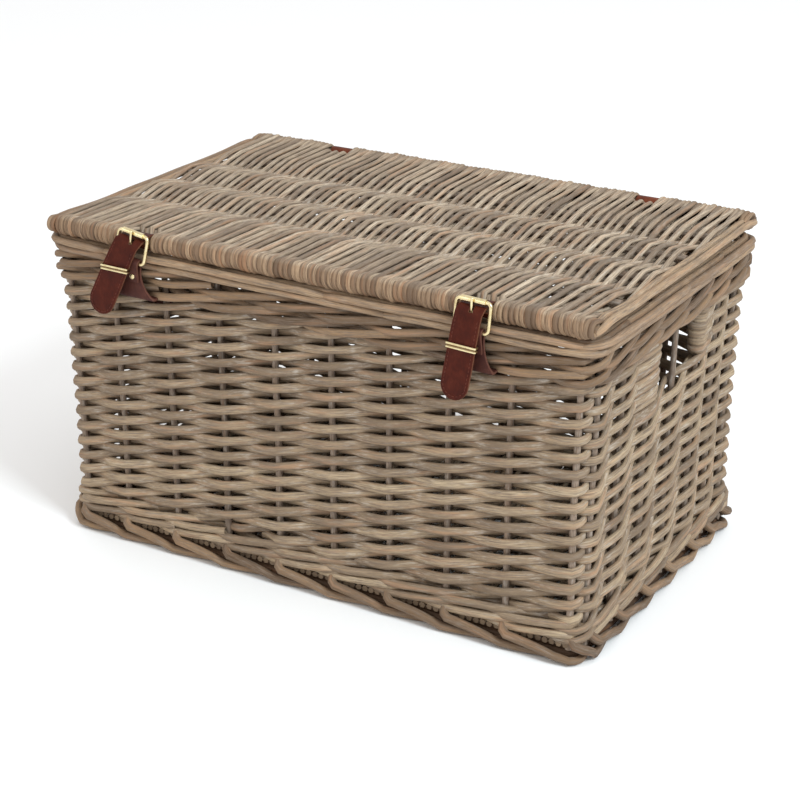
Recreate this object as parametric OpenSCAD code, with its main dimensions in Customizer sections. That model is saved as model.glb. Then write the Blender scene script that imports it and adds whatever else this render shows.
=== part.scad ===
// Wicker storage trunk: an oblong willow basket with a hinged lid, two leather
// buckle straps in front, two leather hinge loops behind and a hand-hole in each end.
// Millimetres, +Z up, +X to the right along the front, +Y to the back.
// The origin is the centre of the foot, on the floor.

/* [Basket] */
// Length over the side weave
body_l = 490; // [440:5:500]
// Width over the side weave
body_w = 300; // [280:5:340]
// Thickness of the side weave
wall_t = 16; // [14:1:18]
// Height of the basket to the top of its border
body_h = 264; // [250:2:290]
// Height of the foot border
foot_h = 11; // [9:1:13]
// Thickness of the base weave
base_t = 8; // [7:0.5:10]
// Height of the waling above the base
low_wale_h = 18; // [14:1:22]
// Height of the waling under the border
top_wale_h = 22; // [18:1:26]
// Height of the top border
border_h = 13; // [11:1:15]
// How far the top border stands out past the weave
border_flare = 5; // [3:0.5:6]

/* [Stakes] */
// Diameter of the upright stakes
stake_d = 6; // [5:0.5:7]
// Number of stakes along the front, without the corner posts
front_stakes_n = 8; // [6:1:8]
// Distance between the stakes of the front and back
front_gap = 51.6; // [48:0.2:53]
// Where the middle of the front row of stakes stands
front_shift = -5; // [-8:1:0]
// Places of the stakes of each end; the third one stands bare in the hand-hole
end_stakes = [-85, -38, 9, 56, 93];
// Height of the bottom of the hand-holes
hole_z = 180; // [170:1:190]

/* [Lid] */
// Length of the lid over its end rods
lid_l = 500; // [480:5:540]
// Distance between the middles of the front and back sticks
lid_reach = 297; // [290:1:300]
// Diameter of the rolled front and back edges
roll_d = 17; // [16:0.5:18]
// Thickness of the lid weave
lid_t = 15; // [13:0.5:16]
// Diameter of the front and back sticks
edge_stick_d = 8; // [7:0.5:9]
// Diameter of the inner sticks
inner_stick_d = 6; // [5:0.5:7]
// Number of inner sticks
inner_sticks_n = 4; // [3:1:5]
// Diameter of the rods that close the ends
end_rod_d = 6; // [5:0.5:6.5]

/* [Leather] */
// Distance of each strap from the middle
strap_x = 153; // [148:1:156]
// Distance of each hinge loop from the middle
hinge_x = 152; // [148:1:156]
// Width of the lid straps
strap_w = 22; // [20:1:23]
// Width of the body straps and of the hinge loops
tab_w = 20; // [18:1:20]
// Width of the body straps where they go into the wall
tab_foot = 30; // [24:1:30]
// Thickness of the leather
leather_t = 2.1; // [2:0.05:2.2]
// Lean of the left buckle, in degrees
left_lean = 9; // [0:0.5:12]
// Lean of the right buckle, in degrees
right_lean = 2; // [0:0.5:12]
// How much further the left lid strap leans than its buckle, in degrees
left_skew = 4.5; // [0:0.5:4.5]
// How much further the right lid strap leans than its buckle, in degrees
right_skew = 3.5; // [0:0.5:4.5]

/* [Brass] */
// Diameter of the buckle wire
wire_d = 3; // [2.8:0.1:3.2]
// Width of the buckle between the middles of its side wires
buckle_w = 28; // [27.5:0.5:29]
// Outside diameter of the roller
roller_d = 4.8; // [4.6:0.1:5]
// Diameter of the prong
prong_d = 2.2; // [2:0.1:2.4]
// Height of the keeper band
keeper_h = 4.2; // [3.8:0.1:4.6]

/* [Hidden] */
$fn = 64;

// Fits: a thing that turns keeps this much room around its pin
turn_gap = 0.06;
// Room left around leather where it goes through the weave
slot_gap = 0.4;
// Overshoot of cutting shapes
over = 5;

// Basket levels
base_z = foot_h;
low_wale_z = base_z + base_t;
weave_z = low_wale_z + low_wale_h;
border_z = body_h - border_h;
top_wale_z = border_z - top_wale_h;

// Plan of the basket
half_l = body_l / 2;
half_w = body_w / 2;
in_l = half_l - wall_t;
in_w = half_w - wall_t;
out_r = 16;
in_r = 4;
foot_out = 2;
low_wale_out = 1;
top_wale_out = border_flare / 2;
row_x = half_l - wall_t / 2;
row_y = half_w - wall_t / 2;
post_dx = 7;
post_dy = 13;
stake_r = stake_d / 2;
front_xs = [for (i = [0 : front_stakes_n - 1])
    front_shift + (i - (front_stakes_n - 1) / 2) * front_gap];
bare_i = 2;
hole_y0 = end_stakes[bare_i - 1] + 9;
hole_y1 = end_stakes[bare_i + 1] - 9;

// Base sticks
base_stick_d = 6;
base_stick_ys = [-122, -75, -25, 25, 75, 122];

// Lid levels
lid_z = 273;
stick_y = lid_reach / 2;
roll_r = roll_d / 2;
end_rod_x = lid_l / 2 - end_rod_d / 2 - 0.2;
end_rod_gap = end_rod_d + 0.6;
weave_l = end_rod_x - end_rod_gap - end_rod_d / 2;
inner_gap = lid_reach / (inner_sticks_n + 1);
strap_notch = 28;
strap_notch_depth = 11;
hinge_notch = 24;
hinge_notch_depth = 17.5;

// Leather hinge loop, seen along X
loop_r0 = edge_stick_d / 2 + turn_gap;
loop_r1 = loop_r0 + leather_t;
loop_out_y = half_w + border_flare + 0.3;
loop_in_y = in_w - 0.3;
loop_low_z = border_z - 0.3 - leather_t;
loop_bend_z = body_h;
hinge_rivet_z = 257;

// Buckle, seen along X before it leans: heel bar, roller and keeper
heel_y = -161;
heel_z = 259;
roller_y = -158;
roller_z = 281.6;
wire_r = wire_d / 2;
roller_r = roller_d / 2;
prong_r = prong_d / 2;
corner_r = 3.5;
frame_h = norm([roller_y - heel_y, roller_z - heel_z]);
frame_tilt = atan2(-(roller_y - heel_y), roller_z - heel_z);
roller_w = buckle_w - 2 * corner_r - 1;
heel_gap_r = wire_r + turn_gap;
heel_out_r = heel_gap_r + leather_t;
ply_back_y = heel_y + heel_gap_r;
ply_front_y = heel_y - heel_gap_r;
ply_end_z = 246.5;
tab_top_z = 252;
tab_end_z = 240;
strap_slot_z = top_wale_z - 0.3 - leather_t;
strap_in_y = -in_w + 0.3;
strap_in_z = 214;
rivet_z = 243;
rivet_r = 1.4;
rivet_head_r = 3;
rivet_head_t = 1.2;
prong_out = roller_r + prong_r + 0.1;
prong_slot_w = 4.4;
keeper_z = 251.4;
keeper_t = 1.3;
keeper_w = strap_w + 2.2;
keeper_shift = -1.75;
keeper_front_y = -169.9;
strap_hole_w = 3.6;

// Outline of the lid strap from under the roller to its tip, outer side first
strap_t = 2.3;
strap_top = roller_z - roller_r - 1;
strap_side = [[roller_y + 2.6, strap_top], [roller_y, strap_top], [-160.6, 278.3],
    [-163.7, 277], [-165.9, 271.5], [-167, 262], [-168, 252], [-168.6, 238], [-171, 201],
    [-168.7, 199], [-166.3, 238], [-165.7, 252], [-164.7, 262], [-163.6, 270.9],
    [-161.7, 275], [-160.2, 275.8], [roller_y, strap_top - strap_t],
    [roller_y + 2.6, strap_top - strap_t]];
tip_z = 212;

willow = [0.62, 0.54, 0.44];
willow_tan = [0.70, 0.56, 0.41];
stake_grey = [0.50, 0.46, 0.42];
leather = [0.36, 0.14, 0.11];
brass = [0.85, 0.72, 0.42];

// ---- helpers ----

module oblong(hl, hw, r, z0, h) {
    translate([-hl + r, -hw, z0]) cube([2 * (hl - r), 2 * hw, h]);
    translate([-hl, -hw + r, z0]) cube([2 * hl, 2 * (hw - r), h]);
    for (sx = [-1, 1], sy = [-1, 1])
        translate([sx * (hl - r), sy * (hw - r), z0]) cylinder(r = r, h = h);
}

module band(out, z0, h) {
    difference() {
        oblong(half_l + out, half_w + out, out_r + out, z0, h);
        oblong(in_l, in_w, in_r, z0 - over, h + 2 * over);
    }
}

module upright(x, y, z0, z1) {
    translate([x, y, z0]) cylinder(d = stake_d, h = z1 - z0);
}

module front_row(side, z0, z1) {
    for (x = front_xs) upright(x, side * row_y, z0, z1);
}

module end_row(side, z0, z1) {
    for (y = end_stakes) upright(side * row_x, y, z0, z1);
}

module posts(z0, z1) {
    for (sx = [-1, 1], sy = [-1, 1]) {
        upright(sx * (row_x - post_dx), sy * row_y, z0, z1);
        upright(sx * row_x, sy * (row_y - post_dy), z0, z1);
    }
}

module all_stakes(z0, z1) {
    for (side = [-1, 1]) {
        front_row(side, z0, z1);
        end_row(side, z0, z1);
    }
    posts(z0, z1);
}

module stick(d, y, z, hl) {
    translate([-hl, y, z]) rotate([0, 90, 0]) cylinder(d = d, h = 2 * hl);
}

// A shape drawn in the Y-Z plane, as thick as w along X about x0
module side_shape(x0, w) {
    translate([x0 - w / 2, 0, 0]) rotate([90, 0, 90]) linear_extrude(w) children();
}

// Turns a closure about the middle of its roller
module lean(side, extra = 0) {
    angle = (side < 0 ? left_lean : right_lean) + extra;
    translate([side * strap_x, 0, roller_z]) rotate([0, angle, 0])
        translate([0, 0, -roller_z]) children();
}

module box_between(a, b) {
    translate(a) cube(b - a);
}

// ---- base ----

module base_sticks() {
    color(willow) for (y = base_stick_ys) stick(base_stick_d, y, base_z + base_t / 2, half_l - 1);
}

module base_weave() {
    color(willow) difference() {
        oblong(half_l, half_w, out_r, base_z, base_t);
        for (y = base_stick_ys) stick(base_stick_d, y, base_z + base_t / 2, half_l + over);
        all_stakes(base_z - over, base_z + base_t + over);
    }
}

module foot_border() {
    color(willow) band(foot_out, 0, foot_h);
}

module bottom_wale() {
    color(willow) difference() {
        band(low_wale_out, low_wale_z, low_wale_h);
        all_stakes(low_wale_z - over, weave_z + over);
    }
}

// ---- stakes ----

module front_stakes() {
    color(stake_grey) front_row(-1, base_z, border_z);
}

module back_stakes() {
    color(stake_grey) front_row(1, base_z, border_z);
}

module left_stakes() {
    color(stake_grey) end_row(-1, base_z, border_z);
}

module right_stakes() {
    color(stake_grey) end_row(1, base_z, border_z);
}

module corner_posts() {
    color(stake_grey) posts(base_z, border_z);
}

// ---- side weave ----

// The ring of weave, cut for the stakes, the hand-holes and the body straps
module weave_ring() {
    difference() {
        band(0, weave_z, top_wale_z - weave_z);
        all_stakes(weave_z - over, top_wale_z + over);
        box_between([-half_l - over, hole_y0, hole_z], [half_l + over, hole_y1, top_wale_z + over]);
        for (side = [-1, 1])
            box_between([side * strap_x - tab_foot / 2 - slot_gap, -half_w - over, strap_slot_z - 0.2],
                [side * strap_x + tab_foot / 2 + slot_gap, -in_w + over, top_wale_z + over]);
    }
}

// The part of the weave on one side, mitred at the corners
module front_part(side) {
    reach = 60;
    intersection() {
        weave_ring();
        linear_extrude(body_h) polygon([[-in_l, side * in_w],
            [-in_l - reach, side * (in_w + reach)],
            [in_l + reach, side * (in_w + reach)], [in_l, side * in_w]]);
    }
}

module end_part(side) {
    reach = 60;
    intersection() {
        weave_ring();
        linear_extrude(body_h) polygon([[side * in_l, -in_w],
            [side * (in_l + reach), -in_w - reach],
            [side * (in_l + reach), in_w + reach], [side * in_l, in_w]]);
    }
}

module front_weave() {
    color(willow) front_part(-1);
}

module back_weave() {
    color(willow) front_part(1);
}

module left_weave() {
    color(willow) end_part(-1);
}

module right_weave() {
    color(willow) end_part(1);
}

module top_wale() {
    color(willow_tan) difference() {
        band(top_wale_out, top_wale_z, top_wale_h);
        all_stakes(top_wale_z - over, border_z + over);
        for (side = [-1, 1])
            box_between([side * hinge_x - tab_w / 2 - slot_gap, in_w - over, loop_low_z - 0.2],
                [side * hinge_x + tab_w / 2 + slot_gap, half_w + 2 * over, border_z + over]);
    }
}

module top_border() {
    color(willow_tan) band(border_flare, border_z, border_h);
}

// ---- lid ----

module lid_front_stick() {
    color(willow_tan) stick(edge_stick_d, -stick_y, lid_z, end_rod_x);
}

module lid_back_stick() {
    color(willow_tan) stick(edge_stick_d, stick_y, lid_z, end_rod_x);
}

module inner_rows(hl) {
    for (i = [1 : inner_sticks_n]) stick(inner_stick_d, -stick_y + i * inner_gap, lid_z, hl);
}

module lid_inner_sticks() {
    color(stake_grey) inner_rows(weave_l);
}

module lid_weave() {
    color(willow) difference() {
        union() {
            box_between([-weave_l, -stick_y, lid_z - lid_t / 2], [weave_l, stick_y, lid_z + lid_t / 2]);
            for (side = [-1, 1]) stick(roll_d, side * stick_y, lid_z, weave_l);
        }
        for (side = [-1, 1]) {
            stick(edge_stick_d, side * stick_y, lid_z, lid_l);
            box_between(
                [side * strap_x - strap_notch / 2, -stick_y - roll_r - over, lid_z - roll_r - over],
                [side * strap_x + strap_notch / 2, -stick_y + strap_notch_depth, lid_z + roll_r + over]);
            box_between(
                [side * hinge_x - hinge_notch / 2, stick_y - hinge_notch_depth, lid_z - roll_r - over],
                [side * hinge_x + hinge_notch / 2, stick_y + roll_r + over, lid_z + roll_r + over]);
        }
        inner_rows(lid_l);
    }
}

module end_rods(side) {
    half = stick_y - edge_stick_d / 2;
    for (k = [0, 1])
        translate([side * (end_rod_x - k * end_rod_gap), -half, lid_z])
            rotate([-90, 0, 0]) cylinder(d = end_rod_d, h = 2 * half);
}

module lid_left_end_rods() {
    color(willow_tan) end_rods(-1);
}

module lid_right_end_rods() {
    color(willow_tan) end_rods(1);
}

// ---- hinges ----

// A leather band round the lid's back stick and the basket's border
module hinge_outline() {
    difference() {
        union() {
            translate([stick_y, lid_z]) circle(r = loop_r1);
            polygon([[loop_in_y, loop_low_z], [loop_out_y + leather_t, loop_low_z],
                [loop_out_y + leather_t, loop_bend_z], [stick_y + loop_r1, lid_z],
                [stick_y - loop_r1, lid_z], [loop_in_y - leather_t, loop_bend_z],
                [loop_in_y - leather_t, loop_low_z]]);
        }
        polygon([[loop_in_y, loop_low_z + leather_t], [loop_out_y, loop_low_z + leather_t],
            [loop_out_y, loop_bend_z], [stick_y + loop_r0, lid_z],
            [stick_y - loop_r0, lid_z], [loop_in_y, loop_bend_z]]);
        translate([stick_y, lid_z]) circle(r = loop_r0);
    }
}

module hinge_loop(side) {
    color(leather) difference() {
        side_shape(side * hinge_x, tab_w) hinge_outline();
        hinge_rivet(side, rivet_r);
    }
}

module hinge_rivet(side, r) {
    translate([side * hinge_x, loop_out_y, hinge_rivet_z])
        rotate([-90, 0, 0]) cylinder(r = r, h = leather_t);
}

module left_hinge_loop() {
    hinge_loop(-1);
}

module right_hinge_loop() {
    hinge_loop(1);
}

module hinge_rivets() {
    color(brass) for (side = [-1, 1]) {
        hinge_rivet(side, rivet_r);
        translate([0, leather_t, 0]) intersection() {
            hinge_rivet(side, rivet_head_r);
            translate([side * hinge_x, loop_out_y - rivet_head_r, hinge_rivet_z])
                sphere(r = norm([rivet_head_r, rivet_head_r + rivet_head_t]) - 0.9);
        }
    }
}

// ---- closures ----

// The body strap: round the heel bar, down in two plies, then one ply into the wall
module body_strap(side) {
    color(leather) difference() {
        union() {
            lean(side) side_shape(0, tab_w) {
                difference() {
                    translate([heel_y, heel_z]) circle(r = heel_out_r);
                    translate([heel_y, heel_z]) circle(r = heel_gap_r);
                    translate([heel_y - over, heel_z - 2 * over]) square(2 * over);
                }
                translate([ply_back_y, ply_end_z]) square([leather_t, heel_z - ply_end_z]);
                translate([ply_front_y - leather_t, ply_end_z])
                    square([leather_t, heel_z - ply_end_z]);
                polygon([[ply_front_y - leather_t, ply_end_z], [ply_back_y + leather_t, ply_end_z],
                    [ply_back_y + leather_t, tab_end_z], [ply_back_y - 1.5, tab_end_z]]);
            }
            translate([side * strap_x, ply_back_y + leather_t, 0]) rotate([90, 0, 0])
                linear_extrude(leather_t) polygon([[-tab_w / 2, tab_top_z], [-tab_w / 2, 247],
                    [-tab_foot / 2, strap_slot_z], [tab_foot / 2, strap_slot_z],
                    [tab_w / 2, 247], [tab_w / 2, tab_top_z]]);
            side_shape(side * strap_x, tab_foot) {
                translate([ply_back_y, strap_slot_z]) square([strap_in_y - ply_back_y, leather_t]);
                translate([strap_in_y, strap_in_z])
                    square([leather_t, strap_slot_z + leather_t - strap_in_z]);
            }
        }
        lean(side) box_between([-prong_slot_w / 2, heel_y - over, heel_z - heel_out_r - 0.2],
            [prong_slot_w / 2, heel_y + heel_gap_r, heel_z + over]);
        lean(side) box_between([-prong_slot_w / 2, heel_y, heel_z - 2.3],
            [prong_slot_w / 2, heel_y + over, heel_z + over]);
        body_rivet(side, rivet_r);
        body_rivet_head(side);
    }
}

module body_rivet(side, r) {
    lean(side) translate([0, ply_front_y - leather_t, rivet_z])
        rotate([-90, 0, 0]) cylinder(r = r, h = ply_back_y + 2 * leather_t - ply_front_y);
}

module body_rivet_head(side) {
    lean(side) translate([0, ply_front_y - leather_t - rivet_head_t + 0.6, rivet_z])
        rotate([-90, 0, 0]) cylinder(r = rivet_head_r, h = rivet_head_t);
}

module left_body_strap() {
    body_strap(-1);
}

module right_body_strap() {
    body_strap(1);
}

module body_strap_rivets() {
    color(brass) for (side = [-1, 1]) {
        body_rivet(side, rivet_r);
        body_rivet_head(side);
    }
}

// The lid strap: round the lid's front stick, under the roller, down to its tip
module lid_strap(side) {
    loop_top = lid_z + loop_r1 + 0.2;
    skew = side < 0 ? left_skew : right_skew;
    color(leather) difference() {
        union() {
            side_shape(side * strap_x, strap_w) translate([-stick_y, lid_z]) circle(r = loop_r1 + 0.2);
            box_between([side * strap_x - strap_w / 2, -151, loop_top - strap_t],
                [side * strap_x + strap_w / 2, -stick_y, loop_top]);
            hull() {
                box_between([side * strap_x - strap_w / 2 + 0.1, -150.8, loop_top - strap_t + 0.1],
                    [side * strap_x + strap_w / 2 - 0.1, -150.3, loop_top - 0.1]);
                lean(side, skew) box_between([0.1 - strap_w / 2, roller_y + 2, strap_top - strap_t + 0.15],
                    [strap_w / 2 - 0.1, roller_y + 2.4, strap_top - 0.15]);
            }
            lean(side, skew) intersection() {
                side_shape(0, strap_w) polygon(strap_side);
                union() {
                    box_between([-strap_w, -200, tip_z], [strap_w, -140, lid_z + 2 * over]);
                    translate([0, -140, tip_z]) rotate([90, 0, 0]) cylinder(d = strap_w, h = 60);
                }
            }
        }
        stick(edge_stick_d + 2 * turn_gap, -stick_y, lid_z, lid_l);
        lean(side) box_between([-strap_hole_w / 2, heel_y - 2 * over, 266],
            [strap_hole_w / 2, roller_y + 2, roller_z]);
    }
}

module left_lid_strap() {
    lid_strap(-1);
}

module right_lid_strap() {
    lid_strap(1);
}

// Draws its children in the plane of the buckle: X across, Y from heel bar to roller
module buckle_plane(side) {
    lean(side) translate([0, heel_y, heel_z]) rotate([frame_tilt, 0, 0]) rotate([90, 0, 0]) children();
}

module wire(from, to) {
    d = to - from;
    translate([from[0], from[1], 0]) rotate([0, 0, atan2(d[1], d[0])])
        rotate([0, 90, 0]) cylinder(r = wire_r, h = norm(d));
}

module buckle_frame(side) {
    across = buckle_w / 2 - corner_r;
    color(brass) buckle_plane(side) {
        wire([-across, 0], [across, 0]);
        wire([-across, frame_h], [across, frame_h]);
        for (sx = [-1, 1]) {
            wire([sx * buckle_w / 2, corner_r], [sx * buckle_w / 2, frame_h - corner_r]);
            for (end = [0, 1])
                translate([sx * across, end == 0 ? corner_r : frame_h - corner_r, 0])
                    intersection() {
                        rotate_extrude() translate([corner_r, 0]) circle(r = wire_r);
                        translate([sx < 0 ? -2 * corner_r : 0, end == 0 ? -2 * corner_r : 0, -over])
                            cube([2 * corner_r, 2 * corner_r, 2 * over]);
                    }
        }
    }
}

module left_buckle_frame() {
    buckle_frame(-1);
}

module right_buckle_frame() {
    buckle_frame(1);
}

module buckle_roller(side) {
    color(brass) buckle_plane(side) translate([-roller_w / 2, frame_h, 0]) rotate([0, 90, 0])
        difference() {
            cylinder(r = roller_r, h = roller_w);
            translate([0, 0, -over]) cylinder(r = wire_r + turn_gap, h = roller_w + 2 * over);
        }
}

module left_buckle_roller() {
    buckle_roller(-1);
}

module right_buckle_roller() {
    buckle_roller(1);
}

// The prong turns on the heel bar and lies against the front of the roller
module buckle_prong(side) {
    eye_w = 3.6;
    eye_r = wire_r + turn_gap + 1;
    rise = atan2(prong_out, frame_h);
    color(brass) buckle_plane(side) difference() {
        union() {
            translate([-eye_w / 2, 0, 0]) rotate([0, 90, 0]) cylinder(r = eye_r, h = eye_w);
            rotate([rise - 90, 0, 0]) cylinder(r = prong_r, h = frame_h + 2);
            rotate([rise - 90, 0, 0]) translate([0, 0, frame_h + 2]) sphere(r = prong_r);
        }
        translate([-over, 0, 0]) rotate([0, 90, 0]) cylinder(r = wire_r + turn_gap, h = 2 * over);
    }
}

module left_buckle_prong() {
    buckle_prong(-1);
}

module right_buckle_prong() {
    buckle_prong(1);
}

module keeper(side) {
    back_y = heel_y + keeper_t / 2;
    half = keeper_w / 2;
    color(brass) lean(side) translate([keeper_shift, 0, 0]) difference() {
        box_between([-half - keeper_t, keeper_front_y, keeper_z - keeper_h / 2],
            [half + keeper_t, back_y, keeper_z + keeper_h / 2]);
        box_between([-half, keeper_front_y + keeper_t, keeper_z - over],
            [half, back_y - keeper_t, keeper_z + over]);
    }
}

module left_keeper() {
    keeper(-1);
}

module right_keeper() {
    keeper(1);
}

base_sticks();
base_weave();
foot_border();
bottom_wale();
front_stakes();
back_stakes();
left_stakes();
right_stakes();
corner_posts();
front_weave();
back_weave();
left_weave();
right_weave();
top_wale();
top_border();
lid_front_stick();
lid_back_stick();
lid_inner_sticks();
lid_weave();
lid_left_end_rods();
lid_right_end_rods();
left_hinge_loop();
right_hinge_loop();
hinge_rivets();
left_body_strap();
right_body_strap();
body_strap_rivets();
left_lid_strap();
right_lid_strap();
left_buckle_frame();
right_buckle_frame();
left_buckle_roller();
right_buckle_roller();
left_buckle_prong();
right_buckle_prong();
left_keeper();
right_keeper();
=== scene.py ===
import bmesh
import bpy
import random
from bisect import bisect_right
from math import asin, copysign, cos, degrees, exp, pi, radians, sin
from mathutils import Matrix, Vector, noise


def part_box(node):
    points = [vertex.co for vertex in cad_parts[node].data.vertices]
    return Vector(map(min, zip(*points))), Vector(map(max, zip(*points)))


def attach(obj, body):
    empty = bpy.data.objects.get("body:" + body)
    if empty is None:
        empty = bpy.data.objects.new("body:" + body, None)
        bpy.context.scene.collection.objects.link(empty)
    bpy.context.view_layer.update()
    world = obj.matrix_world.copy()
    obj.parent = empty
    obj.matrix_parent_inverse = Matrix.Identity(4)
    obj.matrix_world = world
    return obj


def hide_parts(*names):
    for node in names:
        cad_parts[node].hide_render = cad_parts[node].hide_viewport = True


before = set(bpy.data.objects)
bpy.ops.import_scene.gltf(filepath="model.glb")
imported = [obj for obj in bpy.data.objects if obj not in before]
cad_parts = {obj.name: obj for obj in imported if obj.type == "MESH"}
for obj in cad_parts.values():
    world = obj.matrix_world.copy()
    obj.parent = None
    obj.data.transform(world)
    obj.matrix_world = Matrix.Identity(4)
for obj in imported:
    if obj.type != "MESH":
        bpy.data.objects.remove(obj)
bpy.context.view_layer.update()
chance = random.Random(11)
scene = bpy.context.scene


# ---- places taken from the frame ----

def middle(node, axis):
    low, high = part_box(node)
    return (low[axis] + high[axis]) / 2


STAKE_R = 0.003
STICK_R = 0.004
HALF_X = middle("right_stakes", 0)
HALF_Y = -middle("front_stakes", 1)
CORNER = 0.012
LEGS = (2 * (HALF_X - CORNER), 2 * (HALF_Y - CORNER)) * 2
ARC = CORNER * pi / 2
ROUND = sum(LEGS) + 4 * ARC
HEADINGS = ((1, 0), (0, 1), (-1, 0), (0, -1))
front_low, front_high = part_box("front_stakes")
FRONT_X = [front_low[0] + STAKE_R + i * (front_high[0] - front_low[0] - 2 * STAKE_R) / 7 for i in range(8)]
END_Y = [-0.085, -0.038, 0.009, 0.056, 0.093]
POST_X = HALF_X - 0.007
POST_Y = HALF_Y - 0.013
WEAVE_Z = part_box("front_weave")[0][2]
WALE_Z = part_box("top_wale")[0][2]
HOLE_Z = 0.180
LID_Z = middle("lid_front_stick", 2)
LID_Y = middle("lid_back_stick", 1)
LID_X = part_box("lid_weave")[1][0]
INNER_Y = [-LID_Y + (i + 1) * 2 * LID_Y / 5 for i in range(4)]
SIDES = {-1: "left", 1: "right"}
STRAP_X = 0.153
HINGE_X = 0.152
WRAP = STICK_R + 0.0022


def splayed(x, y, z):
    """The walls lean outwards a little towards the rim, the ends more than the front and back."""
    rise = max(0, (z - 0.10) / 0.16) ** 1.5
    return Vector((x * (1 + 0.0045 / HALF_X * rise), y * (1 + 0.002 / HALF_Y * rise), z))


def wall_point(s, out, z):
    """Where the wall is at length s, counter-clockwise from the front left corner, moved outwards by out."""
    return splayed(*flat_point(s, out, z))


def flat_point(s, out, z):
    s %= ROUND
    for (dx, dy), leg in zip(HEADINGS, LEGS):
        nx, ny = dy, -dx
        if s <= leg:
            t = s - leg / 2
            return Vector((nx * (HALF_X + out) + dx * t, ny * (HALF_Y + out) + dy * t, z))
        s -= leg
        if s <= ARC:
            a = s / CORNER
            cx, cy = (nx + dx) * (HALF_X - CORNER), (ny + dy) * (HALF_Y - CORNER)
            return Vector((cx + (nx * cos(a) + dx * sin(a)) * (CORNER + out),
                           cy + (ny * cos(a) + dy * sin(a)) * (CORNER + out), z))
        s -= ARC
    return flat_point(0, out, z)


def stake_lengths():
    """How far along the wall each upright stands, in order, starting at the front left."""
    past = ARC * degrees(asin((POST_X - HALF_X + CORNER) / CORNER)) / 90
    beside = POST_Y - (HALF_Y - CORNER)
    found = []
    start = 0
    back_x, left_y = [-x for x in reversed(FRONT_X)], [-y for y in reversed(END_Y)]
    for leg, places in zip(LEGS, (FRONT_X, END_Y, back_x, left_y)):
        inset = -past if leg == LEGS[0] else -beside
        found.append(start + inset)
        found += [start + leg / 2 + p for p in places]
        found.append(start + leg - inset)
        start += leg + ARC
    return sorted(s % ROUND for s in found)


STAKES = stake_lengths()
COUNT = len(STAKES)


def stake_s(i):
    return STAKES[i % COUNT] + (i // COUNT) * ROUND


def gap_at(s):
    """The stake before s, and how far s is on the way to the next one."""
    turns, t = divmod(s, ROUND)
    i = bisect_right(STAKES, t + 1e-9) - 1 + int(turns) * COUNT
    return i, (s - stake_s(i)) / (stake_s(i + 1) - stake_s(i))


def stops(start, end, step=0.0065):
    """Lengths from start to end that include every stake between them."""
    marks = [start]
    i = gap_at(start)[0] + 1
    while stake_s(i) < end - 0.001:
        if stake_s(i) > start + 0.001:
            marks.append(stake_s(i))
        i += 1
    marks.append(end)
    out = []
    for a, b in zip(marks, marks[1:]):
        n = max(4, round((b - a) / step))
        out += [a + (b - a) * k / n for k in range(n)]
    return out + [end]


def smooth(t):
    t = min(1, max(0, t))
    return t * t * (3 - 2 * t)


def sway(p, size, amount, seed=0.0):
    return amount * noise.noise(Vector((p[0] / size + seed, p[1] / size, p[2] / size)))


# ---- materials ----

def new_material(name):
    material = bpy.data.materials.new(name)
    material.use_nodes = True
    shader = material.node_tree.nodes["Principled BSDF"]
    return material, material.node_tree, shader


def feed(tree, socket, value):
    """Links a socket to another one, or gives it a number or a colour."""
    if isinstance(value, bpy.types.NodeSocket):
        tree.links.new(value, socket)
    elif isinstance(value, (int, float)):
        socket.default_value = value
    else:
        socket.default_value = (*value, 1)


def ramp(tree, source, stops_):
    node = tree.nodes.new("ShaderNodeValToRGB")
    tree.links.new(source, node.inputs["Fac"])
    while len(node.color_ramp.elements) < len(stops_):
        node.color_ramp.elements.new(0.5)
    for element, (at, colour) in zip(node.color_ramp.elements, stops_):
        element.position = at
        element.color = (*colour, 1)
    return node.outputs["Color"]


def grey_ramp(tree, source, low, high):
    return ramp(tree, source, [(low, (0, 0, 0)), (high, (1, 1, 1))])


def mixed(tree, factor, first, second, kind="MIX"):
    node = tree.nodes.new("ShaderNodeMix")
    node.data_type = "RGBA"
    node.blend_type = kind
    for i, value in ((0, factor), (6, first), (7, second)):
        feed(tree, node.inputs[i], value)
    return node.outputs[2]


def shade_ramp(tree, source, low, high, dark):
    """From a dark grey at low to white at high, to multiply a colour with."""
    return ramp(tree, source, [(low, (dark,) * 3), (high, (1, 1, 1))])


def sums(tree, kind, *values, clamp=True):
    node = tree.nodes.new("ShaderNodeMath")
    node.operation = kind
    node.use_clamp = clamp
    for socket, value in zip(node.inputs, values):
        feed(tree, socket, value)
    return node.outputs[0]


def attribute(tree, name, output="Fac"):
    node = tree.nodes.new("ShaderNodeAttribute")
    node.attribute_name = name
    return node.outputs[output]


def roughened(tree, shader, source, low, high):
    """Roughness that follows a pattern, from low where it is dark to high where it is bright."""
    grey = ramp(tree, source, [(0.3, (low,) * 3), (0.7, (high,) * 3)])
    tree.links.new(grey, shader.inputs["Roughness"])


def bumped(tree, shader, height, strength, distance):
    bump = tree.nodes.new("ShaderNodeBump")
    bump.inputs["Strength"].default_value = strength
    bump.inputs["Distance"].default_value = distance
    tree.links.new(height, bump.inputs["Height"])
    tree.links.new(bump.outputs["Normal"], shader.inputs["Normal"])


def noise_node(tree, vector, scale, detail, stretch=None, rough=0.55):
    if stretch:
        mapping = tree.nodes.new("ShaderNodeMapping")
        mapping.inputs["Scale"].default_value = stretch
        tree.links.new(vector, mapping.inputs["Vector"])
        vector = mapping.outputs["Vector"]
    node = tree.nodes.new("ShaderNodeTexNoise")
    node.inputs["Scale"].default_value = scale
    node.inputs["Detail"].default_value = detail
    node.inputs["Roughness"].default_value = rough
    tree.links.new(vector, node.inputs["Vector"])
    return node.outputs["Fac"]


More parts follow.
